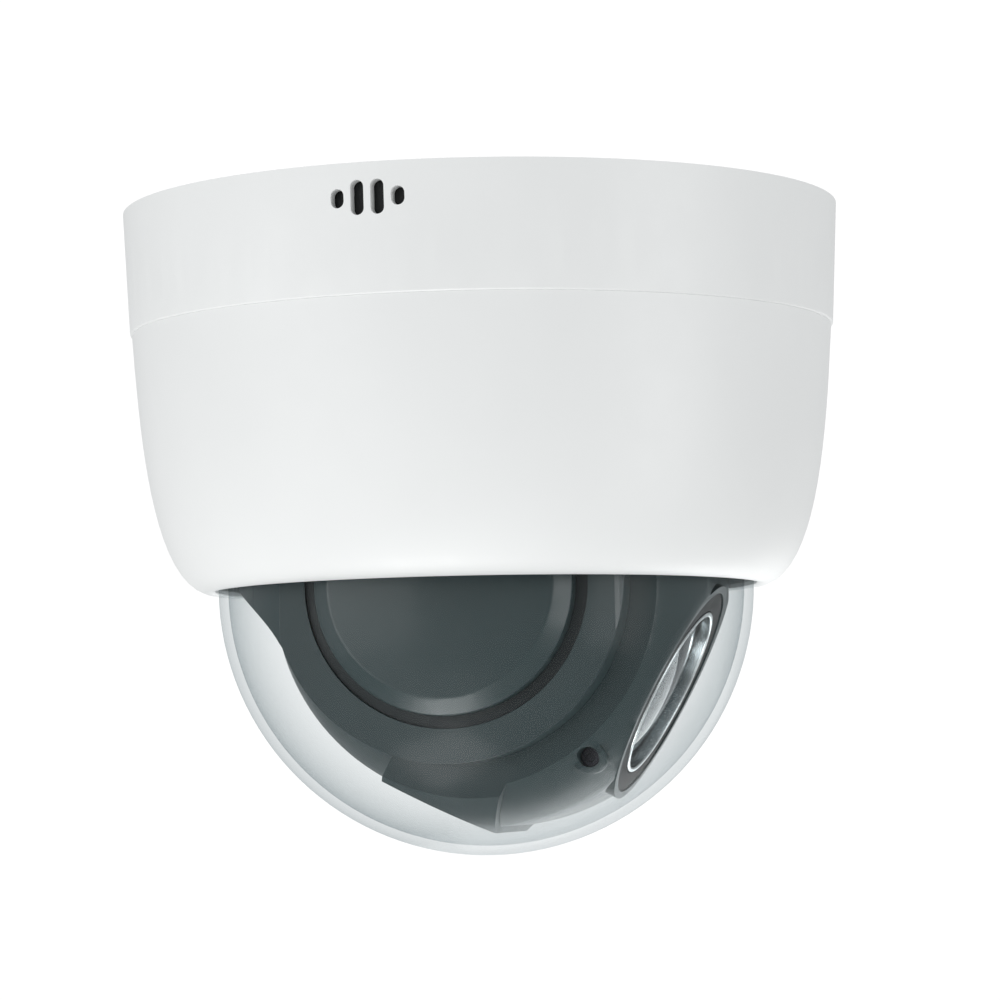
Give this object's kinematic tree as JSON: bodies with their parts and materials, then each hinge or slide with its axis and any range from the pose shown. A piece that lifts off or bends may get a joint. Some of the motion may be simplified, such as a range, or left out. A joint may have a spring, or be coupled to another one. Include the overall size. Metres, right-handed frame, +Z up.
{
  "type": "ptz dome camera",
  "caption": "Ceiling dome camera: white two-part housing, clear hemispherical dome and a belt-driven pan and tilt head with a zoom lens.",
  "frame": {"origin": "centre of the bracket's upper face, which lies on the ceiling, on the pan axis", "axes": "+Z up into the ceiling along the pan axis; the tilt axis is along Y; at rest the lens looks along +X, 28 degrees below the horizontal"},
  "size_m": [0.15, 0.15, 0.135],
  "materials": {
    "housing_white": "fine moulded satin, warm-neutral white",
    "graphite_plastic": "satin moulded dark grey",
    "black_plastic": "matt moulded black",
    "clear_dome": "polished clear polycarbonate",
    "lens_glass": "coated optical glass",
    "filter_glass": "dichroic filter glass",
    "steel": "zinc plated steel",
    "bright_trim": "polished metal ring",
    "brass": "turned brass",
    "circuit_board": "green solder mask",
    "heat_sink_black": "black anodised",
    "rubber_black": "soft black rubber",
    "bearing_steel": "ground bearing steel"
  },
  "bodies": {
    "fixed": {"ceiling_bracket": "steel", "bracket_lock_screw": "steel", "housing_base": "housing_white", "base_tray": "housing_white", "housing_cover": "housing_white", "cover_clips": "steel", "chassis_plate": "steel", "board_standoffs": "brass", "main_board": "circuit_board", "chassis_and_board_screws": "steel", "heat_sink": "heat_sink_black", "board_capacitors": "black_plastic", "ethernet_jack": "steel", "power_jack": "black_plastic", "memory_card_slot": "steel", "dome_bubble": "clear_dome", "dome_gasket": "rubber_black", "dome_retaining_ring": "black_plastic", "retaining_ring_screws": "steel", "pan_bearing_outer_race": "bearing_steel", "pan_bearing_balls": "bearing_steel", "pan_motor": "steel", "pan_belt": "rubber_black", "slip_ring_stator": "black_plastic", "pan_home_sensor": "black_plastic"},
    "button": {"reset_button": "black_plastic"},
    "pan_rotor": {"pan_motor_pulley": "brass"},
    "pan": {"turntable": "graphite_plastic", "pan_pulley": "black_plastic", "pan_bearing_inner_race": "bearing_steel", "slip_ring_rotor": "brass", "near_arm": "graphite_plastic", "near_arm_cap": "graphite_plastic", "far_arm": "graphite_plastic", "far_arm_cap": "graphite_plastic", "rear_shroud": "graphite_plastic", "arm_screws": "steel", "tilt_bushes": "brass", "tilt_motor": "steel", "tilt_belt": "rubber_black", "drive_board": "circuit_board"},
    "tilt_rotor": {"tilt_motor_pulley": "brass"},
    "head": {"head_rear_shell": "graphite_plastic", "head_front_shell": "graphite_plastic", "lens_bezel": "black_plastic", "bezel_trim_ring": "bright_trim", "head_screws": "steel", "tilt_axles": "steel", "tilt_pulley": "black_plastic", "lens_barrel": "black_plastic", "front_lens": "lens_glass", "rear_lens": "lens_glass", "lens_guide_rods": "steel", "iris_unit": "black_plastic", "lens_motors": "steel", "sensor_board": "circuit_board", "filter_frame": "black_plastic"},
    "zoom": {"zoom_group": "black_plastic"},
    "focus": {"focus_group": "black_plastic"},
    "filter": {"infrared_filter": "filter_glass"}
  },
  "joints": [
    {"name": "pan", "type": "hinge", "parent": "fixed", "child": "pan", "pos_m": [0, 0, -0.08], "axis": [0, 0, 1], "continuous": true},
    {"name": "pan_motor_spin", "type": "hinge", "parent": "fixed", "child": "pan_rotor", "pos_m": [-0.043, 0, -0.028], "axis": [0, 0, 1], "continuous": true},
    {"name": "tilt", "type": "hinge", "parent": "pan", "child": "head", "pos_m": [0, 0, -0.08], "axis": [0, 1, 0], "range_deg": [-28, 62]},
    {"name": "tilt_motor_spin", "type": "hinge", "parent": "pan", "child": "tilt_rotor", "pos_m": [0, 0.0351, -0.045], "axis": [0, 1, 0], "range_deg": [-104, 230]},
    {"name": "zoom_travel", "type": "slide", "parent": "head", "child": "zoom", "axis": [0.8829, 0, -0.4695], "range_m": [-0.009, 0.008]},
    {"name": "focus_travel", "type": "slide", "parent": "head", "child": "focus", "axis": [0.8829, 0, -0.4695], "range_m": [-0.005, 0.006]},
    {"name": "filter_shift", "type": "slide", "parent": "head", "child": "filter", "axis": [0, 1, 0], "range_m": [0, 0.009]},
    {"name": "reset_press", "type": "slide", "parent": "fixed", "child": "button", "axis": [0, 0, -1], "range_m": [0, 0.0004], "stiffness_N_per_m": 600, "springref_m": -0.0006}
  ],
  "couplings": [
    {"joint": "pan_motor_spin", "follows": "pan", "ratio": 5.5455},
    {"joint": "tilt_motor_spin", "follows": "tilt", "ratio": 3.7}
  ]
}
